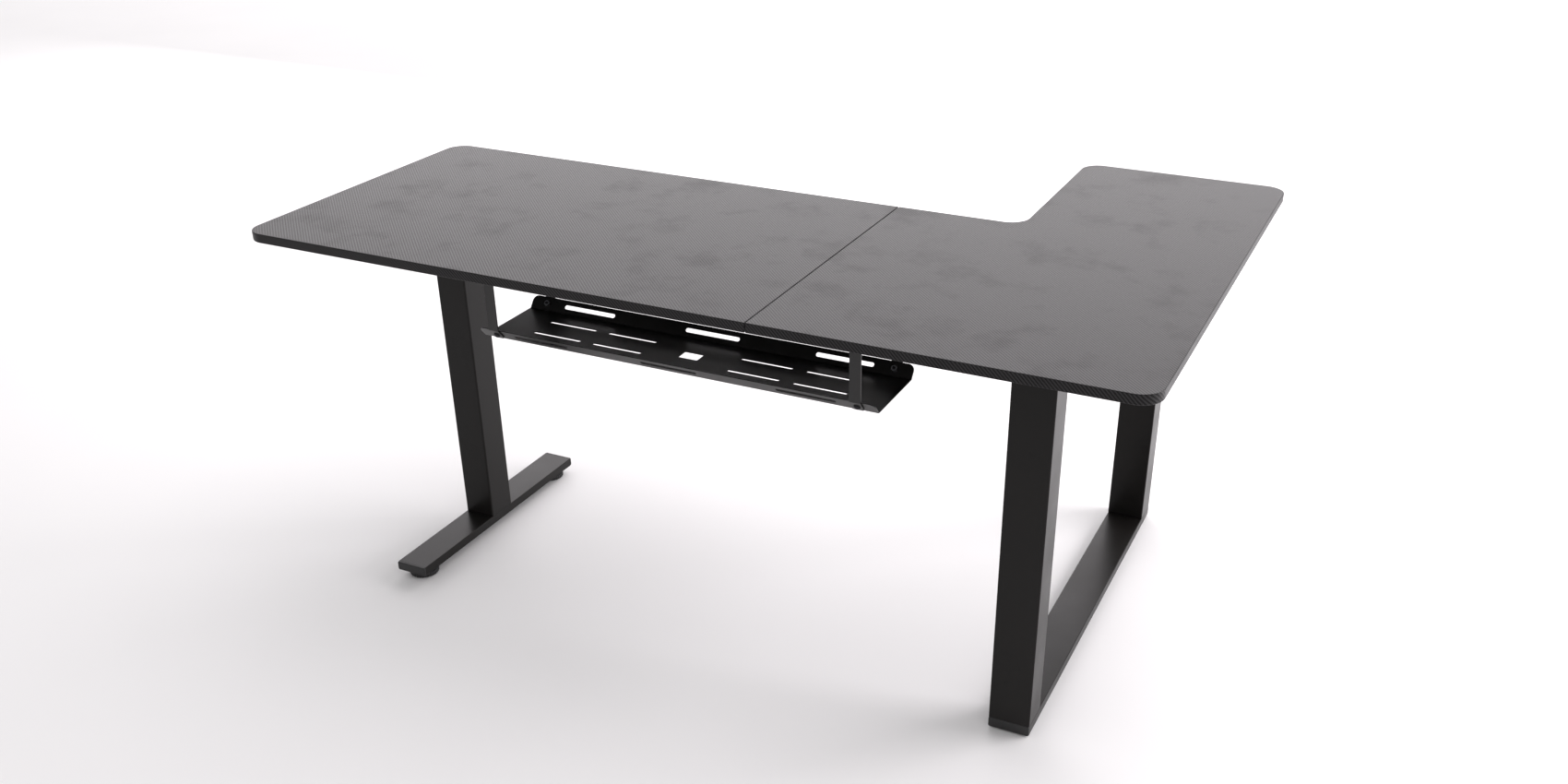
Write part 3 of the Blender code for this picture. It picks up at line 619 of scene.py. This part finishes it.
def make_plates(coat):
    """The plates under the seam and at the rails' ends."""
    for name in ("back", "middle", "front"):
        node = f"seam_plate_{name}"
        shell = plate_shell(node, 2, SEAM_PLATE_CORNER)
        make_piece(node + "_strip", [shell], [coat], [node])
    for row in END_SIGNS:
        for side in SIDE_SIGNS:
            node = f"rail_flange_{row}_{side}"
            shell = plate_shell(node, 0, FLANGE_CORNER)
            make_piece(node + "_plate", [shell], [coat], [node])


def plug_shell(node, end, lip, edge):
    """A tube's end plug: a lip as large as the tube, whose outer edges are quarter arcs, and a
    block inside the tube."""
    low, high = node_box(node)
    centre = (low + high) / 2
    width, height = (high - low)[[0, 2]]
    outer_y = low[1] if end < 0 else high[1]
    inner_y = high[1] if end < 0 else low[1]
    bend = np.linspace(0, np.pi / 2, 7)
    depths = edge * (1 - np.cos(bend))
    drops = edge * (1 - np.sin(bend))
    rings = []
    for depth, drop in zip(depths, drops):
        corner = max(PLUG_CORNER - drop, PLUG_LEAST_CORNER)
        section = rounded_rectangle(width - 2 * drop, height - 2 * drop, corner)
        rings.append(stand(section, 1, outer_y - end * depth, centre))
    inset = WALL + GAP
    inside = rounded_rectangle(width - 2 * inset, height - 2 * inset, PLUG_BLOCK_CORNER)
    lip_y = outer_y - end * lip
    rings.append(stand(rounded_rectangle(width, height, PLUG_LIP_CORNER), 1, lip_y, centre))
    rings.append(stand(inside, 1, lip_y, centre))
    rings.append(stand(inside, 1, inner_y, centre))
    return loft(np.array(rings))


def make_plugs(plastic):
    """The plugs in both ends of the foot beam and of the closed leg's beams."""
    for family, lip, edge in PLUGS:
        for name, end in END_SIGNS.items():
            node = f"{family}_{name}"
            shell = plug_shell(node, end, lip, edge)
            make_piece(node + "_plug", [shell], [plastic], [node])


# Turned pieces


def turned_rings(radii, heights, columns):
    """Rings about Z: each row has a height and a radius, or an array of radii round the ring."""
    angle = np.linspace(0, 2 * np.pi, columns, endpoint=False)
    radii = np.array([np.broadcast_to(radius, columns) for radius in radii])
    heights = np.broadcast_to(np.array(heights, float)[:, None], radii.shape)
    return np.stack([radii * np.cos(angle), radii * np.sin(angle), heights], axis=-1)


def put(points, origin, direction):
    """Turns points so that their Z runs along the direction, and moves them to the origin."""
    turn = Vector((0, 0, 1)).rotation_difference(Vector(direction)).to_matrix()
    return points @ np.array(turn).T + np.asarray(origin)


def lobes(columns, corners):
    """How far a regular polygon's side is from its centre, round the ring: the inner radius over
    the cosine of the angle from the middle of the nearest side."""
    angle = np.linspace(0, 2 * np.pi, columns, endpoint=False)
    step = 2 * np.pi / corners
    return 1 / np.cos((angle + step / 2) % step - step / 2)


def button_head_shell(sizes, shank, origin, direction, socket=6, columns=48):
    """A bolt: a domed head with a socket, below 0, and its shank above. The dome is part of a
    quarter ellipse. The socket is a regular polygon cut to about a third of the head's height,
    with a slight lead-in at its rim."""
    head_radius, head_height, shank_radius, socket_radius = sizes
    key = socket_radius * lobes(columns, socket)
    floor = -head_height * 0.35
    bend = np.linspace(0.42, np.pi / 2, 8)
    radii = [key * 0.02, key, key, key * 1.12]
    heights = [floor, floor, -head_height * 0.97, -head_height]
    radii += [np.full(columns, head_radius * value) for value in np.sin(bend)]
    heights += list(-head_height * (0.12 + 0.88 * np.cos(bend)))
    radii += [head_radius, head_radius * 0.97, shank_radius, shank_radius, shank_radius * 0.8]
    heights += [-head_height * 0.05, 0, 0, shank - SHANK_TIP, shank]
    rings = turned_rings(radii, heights, columns)
    points, faces = loft(rings)
    return put(points, origin, direction), faces


def nut_shell(width, height, bore, origin, direction, columns=48):
    """A hex nut: a hexagon whose corners are turned off at both faces, round a plain bore."""
    hexagon = width / 2 * lobes(columns, 6)
    turned = np.minimum(hexagon, width / 2 * 1.02)
    radii = [bore, turned, hexagon, hexagon, turned, bore]
    heights = [0, 0, NUT_CHAMFER, height - NUT_CHAMFER, height, height]
    rings = turned_rings(radii, heights, columns)
    points, faces = sheet(rings, wrap_rows=True, wrap_columns=True)
    return put(points, origin, direction), faces


def make_levelling_feet(plastic, zinc):
    """The levelling discs and their studs. A disc's rim is a radius less its ribs, which are a
    cosine of the angle cut off to flat tops and flat grooves."""
    columns = FOOT_RIBS * POINTS_PER_RIB
    angle = np.linspace(0, 2 * np.pi, columns, endpoint=False)
    groove = RIB_DEPTH * np.clip(0.5 - 0.9 * np.cos(FOOT_RIBS * angle), 0, 1)
    for name in END_SIGNS:
        node = f"leveller_foot_{name}"
        low, high = node_box(node)
        radius = (high - low)[0] / 2
        top = high[2]
        rim = top - RIM_BELOW_TOP
        # radius and height, from the middle of the underside round to the bore
        profile = (
            (radius - 0.0040, 0),
            (radius - 0.0022, 0.0006),
            (radius - groove - 0.0006, 0.0014),
            (radius - groove, 0.0024),
            (radius - groove, rim - 0.0022),
            (radius - groove - 0.0006, rim - 0.0012),
            (radius - 0.0024, rim - 0.0004),
            (radius - 0.0040, rim),
            (NECK_RADIUS + 0.0015, rim),
            (NECK_RADIUS, rim + 0.0008),
            (NECK_RADIUS - 0.0004, top),
            (FOOT_BORE, top),
            (FOOT_BORE, FOOT_BORE_FLOOR),
        )
        points, faces = loft(turned_rings(*zip(*profile), columns))
        shell = (centred_on(points, node), faces)
        make_piece("ribbed_" + node, [shell], [plastic], [node], "foot_" + name)
        make_stud(name, zinc)


def make_stud(name, zinc):
    """A threaded stud: the radius drops by a triangle wave of the height less the turn, in
    pitches, with crest and root cut off flat."""
    node = f"leveller_stud_{name}"
    low, high = node_box(node)
    radius = (high - low)[0] / 2
    columns = 40
    start, end = low[2] + THREAD_RUNOUT, high[2] - THREAD_RUNOUT
    heights = np.arange(start, end, THREAD_PITCH / RINGS_PER_PITCH)
    turn = np.linspace(0, 1, columns, endpoint=False)
    phase = (heights[:, None] / THREAD_PITCH - turn[None, :]) % 1
    depth = THREAD_DEPTH * (1 - np.clip(np.abs(phase - 0.5) * 2.6, 0.15, 1))
    radii = [radius - THREAD_DEPTH, *(radius - depth), radius - THREAD_DEPTH]
    points, faces = loft(turned_rings(radii, [low[2], *heights, high[2]], columns))
    shell = (centred_on(points, node), faces)
    make_piece("threaded_" + node, [shell], [zinc], [node], "stud_" + name)


def make_glides(plastic):
    """The four thin round glides under the closed leg."""
    for number in range(1, 5):
        node = f"loop_glide_{number}"
        low, high = node_box(node)
        radius = (high - low)[0] / 2
        radii = [radius - GLIDE_EDGE, radius - GLIDE_EDGE_STEP, radius, radius]
        heights = [0, GLIDE_EDGE_STEP, GLIDE_EDGE, high[2]]
        points, faces = loft(turned_rings(radii, heights, 48))
        shell = (centred_on(points, node), faces)
        make_piece("round_" + node, [shell], [plastic], [node])


# Bent sheet


def bent_path(corners, radius, steps=8):
    """A path of straight runs and arcs through corner points, and how far along it each of its
    points is. An arc starts a radius times the tangent of half its turn before the corner."""
    corners = np.asarray(corners, float)
    path = [corners[:1]]
    for before, corner, after in zip(corners, corners[1:], corners[2:]):
        way_in = (corner - before) / np.linalg.norm(corner - before)
        way_out = (after - corner) / np.linalg.norm(after - corner)
        cross = way_in[0] * way_out[1] - way_in[1] * way_out[0]
        turn = np.arctan2(cross, way_in @ way_out)
        start = corner - way_in * radius * np.tan(abs(turn) / 2)
        side = np.array([-way_in[1], way_in[0]]) * np.sign(turn)
        angle = np.linspace(0, abs(turn), steps + 1)[:, None]
        path.append(start + radius * (way_in * np.sin(angle) + side * (1 - np.cos(angle))))
    path.append(corners[-1:])
    path = np.concatenate(path)
    lengths = np.linalg.norm(np.diff(path, axis=0), axis=1)
    return path, np.concatenate([[0], np.cumsum(lengths)])


def hole_half_width(u, holes):
    """Half the width, at each place u along the sheet, of the round-ended holes of one row."""
    half = np.zeros_like(u)
    for centre, length, width in holes:
        radius = width / 2
        beyond = np.abs(u - centre) - (length / 2 - radius)
        inside = beyond < radius - HOLE_END_TOLERANCE
        curve = np.sqrt(np.maximum(radius**2 - np.maximum(beyond, 0) ** 2, 0))
        half = np.where(inside, curve, half)
    return half


def sheet_columns(half_length, holes, corner, pitch):
    """Places along the sheet: even ones, and others bunched like the sines of even angles through
    each hole's round ends and each outer corner."""
    sine = np.sin(np.linspace(0, np.pi / 2, 9))
    marks = [np.linspace(-half_length, half_length, int(2 * half_length / pitch) + 2)]
    for centre, length, width in holes:
        ends = length / 2 - width / 2 + sine * width / 2
        marks += [centre + ends, centre - ends]
    outer = half_length - corner + sine * corner
    marks += [outer, -outer]
    marks = np.sort(np.concatenate(marks))
    return marks[np.concatenate([[True], np.diff(marks) > MERGE_DISTANCE])]


def slotted_sheet(path_corners, bend, half_length, rows_of_holes, corner, window=None, pitch=0.02):
    """A bent sheet with rows of round-ended holes, as a surface of u along its length and s along
    its bent path. Each row of holes splits the sheet along the row's middle, and its two lips
    part by the holes' half width. Where there is no hole the lips meet and are merged. The
    sheet's two outer lips turn in by a quarter circle at each corner. Returns points (u, a, b)
    and quads."""
    path, along = bent_path(path_corners, bend)
    total = along[-1]
    all_holes = [hole for _, holes in rows_of_holes for hole in holes]
    u = sheet_columns(half_length, all_holes, corner, pitch)
    lines = [(s, None) for s in along[1:-1]]
    lines += [(s, holes) for s, holes in rows_of_holes]
    if window:
        length, width, radius = window
        offsets = (-width / 2, radius - width / 2, width / 2 - radius, width / 2)
        lines += [(total / 2 + offset, None) for offset in offsets]
        edges = np.array([-length / 2, radius - length / 2, length / 2 - radius, length / 2])
        u = np.unique(np.concatenate([u, edges]))
    lines.sort(key=lambda line: line[0])
    beyond = np.maximum(np.abs(u) - (half_length - corner), 0)
    dip = corner - np.sqrt(np.maximum(corner**2 - beyond**2, 0))
    rows = [dip]
    solid = []
    for s, holes in lines:
        solid.append(True)
        half = np.zeros_like(u) if holes is None else hole_half_width(u, holes)
        rows.append(np.maximum(s - half, dip))
        if holes is not None:
            solid.append(False)
            rows.append(s + half)
    solid.append(True)
    rows.append(total - dip)
    s = np.minimum(np.array(rows), (total - dip)[None, :])
    u_grid = np.broadcast_to(u, s.shape).copy()
    keep = np.broadcast_to(np.array(solid)[:, None], (len(solid), len(u) - 1)).copy()
    if window:
        offset = s - total / 2
        keep &= ~window_faces(u_grid, offset, window)
        round_window(u_grid, s, offset, window)
    a, b = (np.interp(s, along, path[:, i]) for i in (0, 1))
    flat, quads = sheet(np.stack([u_grid, a, b], axis=-1))
    quads = np.array(quads).reshape(len(solid), len(u) - 1, 4)[keep]
    return flat, quads.tolist()


def window_faces(u, offset, window):
    """Which faces lie in the window: those whose middles are within its half length and width.
    offset is each point's distance from the path's middle."""
    length, width, _ = window
    middle_u = (u[:-1, :-1] + u[1:, 1:]) / 2
    middle_offset = (offset[:-1, :-1] + offset[1:, 1:]) / 2
    return (np.abs(middle_u) < length / 2) & (np.abs(middle_offset) < width / 2)


def round_window(u, s, offset, window):
    """Moves the window's four corner points in to the middle of their quarter arcs."""
    length, width, radius = window
    at_end = np.abs(np.abs(u) - length / 2) < WINDOW_TOLERANCE
    corner = at_end & (np.abs(np.abs(offset) - width / 2) < WINDOW_TOLERANCE)
    shift = radius * (1 - np.sqrt(0.5))
    u[corner] -= np.sign(u[corner]) * shift
    s[corner] -= np.sign(offset[corner]) * shift


def bent_piece(name, points, quads, thickness, coat, node):
    """A sheet given by the middle of its thickness, thickened to both sides with eased edges."""
    piece = make_piece(name, [(points, quads)], [coat], [node])
    piece.modifiers.remove(piece.modifiers["flat_faces_flat"])
    solid = piece.modifiers.new("thickness", "SOLIDIFY")
    solid.thickness = thickness
    solid.offset = 0
    solid.use_even_offset = True
    ease = piece.modifiers.new("eased_edges", "BEVEL")
    ease.width = SHEET_EASE
    ease.segments = 1
    ease.limit_method = "ANGLE"
    ease.angle_limit = np.radians(60)
    normals = piece.modifiers.new("flat_faces_flat", "WEIGHTED_NORMAL")
    normals.keep_sharp = False


def tray_places():
    """The tray's middle, its floor's height and half its length."""
    low, high = node_box("cable_tray")
    middle = (low + high) / 2
    return middle[0], middle[1], low[2] + SHEET, (high[0] - low[0]) / 2


def wall_directions():
    """Up a wall's slope and square out of it, as (away from the tray's middle, up)."""
    rise = np.array([np.cos(WALL_ANGLE), np.sin(WALL_ANGLE)])
    out = np.array([np.sin(WALL_ANGLE), -np.cos(WALL_ANGLE)])
    return rise, out


def round_hole(place, radius):
    """A round hole with slack for its shank, as (place, length, width)."""
    return place, 2 * (radius + HOLE_SLACK), 2 * (radius + HOLE_SLACK)


def make_tray(coat):
    """The tray: a floor and two sloping walls, bent from one blank with four rows of holes."""
    x, y, floor, half_length = tray_places()
    rise, out = wall_directions()
    half_floor = TRAY_FLOOR_WIDTH / 2
    shift = SHEET / 2 * np.tan(WALL_ANGLE / 2)
    rim = np.array([half_floor, 0]) + rise * WALL_SLANT + out * SHEET / 2
    bend = np.array([half_floor + shift, -SHEET / 2])
    corners = [rim * (-1, 1), bend * (-1, 1), bend, rim]
    _, along = bent_path(corners, SHEET_BEND)
    middle = along[-1] / 2
    bolts = [round_hole(side * (half_length - HANGER_INSET), TRAY_BOLT[2]) for side in (-1, 1)]
    rows = [
        (WALL_SLANT / 2, WALL_SLOTS + bolts),
        (middle - FLOOR_SLOT_SPREAD / 2, FLOOR_SLOTS),
        (middle + FLOOR_SLOT_SPREAD / 2, FLOOR_SLOTS),
        (2 * middle - WALL_SLANT / 2, WALL_SLOTS + bolts),
    ]
    points, quads = slotted_sheet(corners, SHEET_BEND, half_length, rows, TRAY_CORNER, WINDOW)
    place = np.array([x, y, floor])
    bent_piece("slotted_tray", points + place, quads, SHEET, coat, "cable_tray")


def make_hangers(coat, bolt_metal, zinc):
    """Four straps: flat under the board, straight down, then along the tray's wall. Each comes
    with its screw, bolt and nut."""
    x, y, floor, half_length = tray_places()
    rise, out = wall_directions()
    off = out * (SHEET + GAP + STRAP / 2)
    knee = off + rise * (WALL_SLANT + RIM_CLEARANCE)
    top = node_box("tray_hanger_back_left")[1][2] - floor - STRAP / 2
    toe = off + rise * TOE
    corners = [(knee[0] + STRAP_FLANGE, top), (knee[0], top), knee, toe]
    _, along = bent_path(corners, STRAP_BEND)
    bolt_s = along[-1] - (WALL_SLANT / 2 - TOE)
    holes = [
        (SCREW_FROM_FLANGE_END, [round_hole(0, HANGER_SCREW[2])]),
        (bolt_s, [round_hole(0, TRAY_BOLT[2])]),
    ]
    low, high = node_box("tray_hanger_back_left")
    half_width = (high - low)[0] / 2
    points, quads = slotted_sheet(
        corners, STRAP_BEND, half_width, holes, STRAP_CORNER, pitch=0.01
    )
    for end_name, end in END_SIGNS.items():
        bend_y = y + end * TRAY_FLOOR_WIDTH / 2
        screw_y = bend_y + end * (knee[0] + STRAP_FLANGE - SCREW_FROM_FLANGE_END)
        for side_name, side in SIDE_SIGNS.items():
            name = f"{end_name}_{side_name}"
            middle_x = x + side * (half_length - HANGER_INSET)
            placed = points * (1, end, 1) + np.array([middle_x, bend_y, floor])
            node = f"tray_hanger_{name}"
            bent_piece("bent_" + node, placed, quads, STRAP, coat, node)
            make_tray_bolt(name, middle_x, bend_y, floor, end, bolt_metal, zinc)
            head = np.array([middle_x, screw_y, floor + top - STRAP / 2 - GAP])
            shell = button_head_shell(
                HANGER_SCREW, HANGER_SCREW_LENGTH, head, (0, 0, 1), socket=4
            )
            node = f"hanger_screw_{name}"
            make_piece("driven_" + node, [shell], [bolt_metal], [node])


def make_tray_bolt(name, middle_x, bend_y, floor, end, bolt_metal, zinc):
    """Bolt and nut square to the wall, at half its slope, with the nut on the wall's inner face."""
    slope = WALL_SLANT / 2
    (away, up), _ = wall_directions()
    inner = np.array([middle_x, bend_y + end * slope * away, floor + slope * up])
    direction = np.array([0, -end * up, away])
    stack = SHEET + GAP + STRAP + GAP
    shank = stack + GAP + NUT_HEIGHT + BOLT_TIP
    shell = button_head_shell(TRAY_BOLT, shank, inner - direction * stack, direction)
    node = f"tray_bolt_{name}"
    make_piece("button_" + node, [shell], [bolt_metal], [node])
    bore = TRAY_BOLT[2] + GAP
    shell = nut_shell(NUT_WIDTH, NUT_HEIGHT, bore, inner + direction * GAP, direction)
    node = f"tray_nut_{name}"
    make_piece("hex_" + node, [shell], [zinc], [node])


# Bolts of the frame


def make_frame_bolts(bolt_metal):
    """Bolts up through the leg beams into the boards, and through the rails' end plates into the
    leg beams."""
    for leg in ("t", "loop"):
        for end in END_SIGNS:
            node = f"leg_bolt_{leg}_{end}"
            low, high = node_box(node)
            middle = (low + high) / 2
            head_base = np.array([middle[0], middle[1], low[2] + LEG_BOLT[1]])
            shell = button_head_shell(LEG_BOLT, high[2] - head_base[2], head_base, (0, 0, 1))
            make_piece("socket_" + node, [shell], [bolt_metal], [node])
    for row in END_SIGNS:
        for side, sign in SIDE_SIGNS.items():
            node = f"rail_bolt_{row}_{side}"
            low, high = node_box(node)
            middle = (low + high) / 2
            head_end = low[0] if sign > 0 else high[0]
            head_base = np.array([head_end + sign * RAIL_BOLT[1], middle[1], middle[2]])
            length = (high - low)[0] - RAIL_BOLT[1]
            shell = button_head_shell(RAIL_BOLT, length, head_base, (sign, 0, 0))
            make_piece("socket_" + node, [shell], [bolt_metal], [node])


def make_plate_screws(bolt_metal):
    """Four square-recessed screws hold each seam plate, two in each board."""
    for name in ("back", "middle", "front"):
        low, high = node_box(f"seam_plate_{name}")
        middle = (low + high) / 2
        shells = []
        for x_sign in (-1, 1):
            for y_sign in (-1, 1):
                place = middle + PLATE_SCREW_PLACE * (x_sign, y_sign, 0)
                place[2] = low[2]
                shell = button_head_shell(
                    PLATE_SCREW, PLATE_SCREW_SHANK, place, (0, 0, 1), socket=4, columns=32
                )
                shells.append(shell)
        make_piece(f"seam_plate_screws_{name}", shells, [bolt_metal])


# Studio


def make_camera():
    """The camera looks down at the desk from its wall side."""
    azimuth, elevation, roll = np.radians(CAMERA_TURN)
    forward = np.array([
        -np.sin(azimuth) * np.cos(elevation),
        np.cos(azimuth) * np.cos(elevation),
        -np.sin(elevation),
    ])
    right = np.cross(forward, (0, 0, 1))
    right /= np.linalg.norm(right)
    up = np.cross(right, forward)
    rolled_right = np.cos(roll) * right + np.sin(roll) * up
    rolled_up = np.cos(roll) * up - np.sin(roll) * right
    turn = Matrix(np.column_stack([rolled_right, rolled_up, -forward]).tolist())
    camera = bpy.data.cameras.new("camera")
    camera.lens = CAMERA_LENS
    camera.sensor_width = 36
    camera.shift_x, camera.shift_y = CAMERA_SHIFT
    holder = bpy.data.objects.new("camera", camera)
    holder.matrix_world = Matrix.Translation(CAMERA_PLACE) @ turn.to_4x4()
    bpy.context.scene.collection.objects.link(holder)
    bpy.context.scene.camera = holder


def make_floor():
    """A flat disc of floor, wide enough to fill every view and a hair below the desk's feet."""
    radius, drop, count = 30.0, 0.0003, 96
    angle = np.linspace(0, 2 * np.pi, count, endpoint=False)
    rim = [radius * np.cos(angle), radius * np.sin(angle), np.full(count, -drop)]
    mesh = bpy.data.meshes.new("studio_floor")
    mesh.from_pydata(np.stack(rim, axis=-1), [], [list(range(count))])
    mesh.materials.append(pale_floor())
    floor = bpy.data.objects.new("studio_floor", mesh)
    bpy.context.scene.collection.objects.link(floor)


def add_soft_light(name, place, target, size, power):
    """A rectangular softbox that faces its target and isn't seen by the camera."""
    light = bpy.data.lights.new(name, "AREA")
    light.shape = "RECTANGLE"
    light.size, light.size_y = size
    light.energy = power
    light.color = LIGHT_TINT
    holder = bpy.data.objects.new(name, light)
    holder.location = place
    holder.rotation_mode = "QUATERNION"
    holder.rotation_quaternion = (Vector(target) - Vector(place)).to_track_quat("-Z", "Y")
    holder.visible_camera = False
    bpy.context.scene.collection.objects.link(holder)


def make_lights():
    """A pale world, a softbox overhead, a square one at the right, a wide backdrop panel beyond
    the desk that its top mirrors, and a wide box over the far floor."""
    world = bpy.data.worlds.new("studio")
    world.use_nodes = True
    background = world.node_tree.nodes["Background"]
    background.inputs["Color"].default_value = WORLD_COLOUR
    background.inputs["Strength"].default_value = WORLD_STRENGTH
    bpy.context.scene.world = world
    for softbox in SOFTBOXES:
        add_soft_light(*softbox)
    bpy.context.scene.view_settings.view_transform = "Standard"


# The desk


def finish_hidden_nodes(by_slot):
    """Gives every CAD node its slot's material."""
    for entry in frame["record"]["subparts"]:
        mesh = frame["nodes"][entry["node"]].data
        mesh.materials.clear()
        mesh.materials.append(by_slot[entry["material_slot"]])


def build():
    """The studio, the materials and all pieces of the desk."""
    make_camera()
    make_floor()
    make_lights()
    film = carbon_film()
    coat = powder_coat()
    plastic = moulded_plastic()
    zinc = zinc_plate()
    bolt_metal = black_oxide()
    finish_hidden_nodes(
        {"film": film, "steel": coat, "plastic": plastic, "zinc": zinc, "black_bolt": bolt_metal}
    )
    make_boards(film, backing_paper())
    make_tubes(coat)
    make_plates(coat)
    make_plugs(plastic)
    make_levelling_feet(plastic, zinc)
    make_glides(plastic)
    tray_coat_with_painted_shade = tray_coat()
    make_tray(tray_coat_with_painted_shade)
    make_hangers(tray_coat_with_painted_shade, bolt_metal, zinc)
    make_frame_bolts(bolt_metal)
    make_plate_screws(bolt_metal)


build()
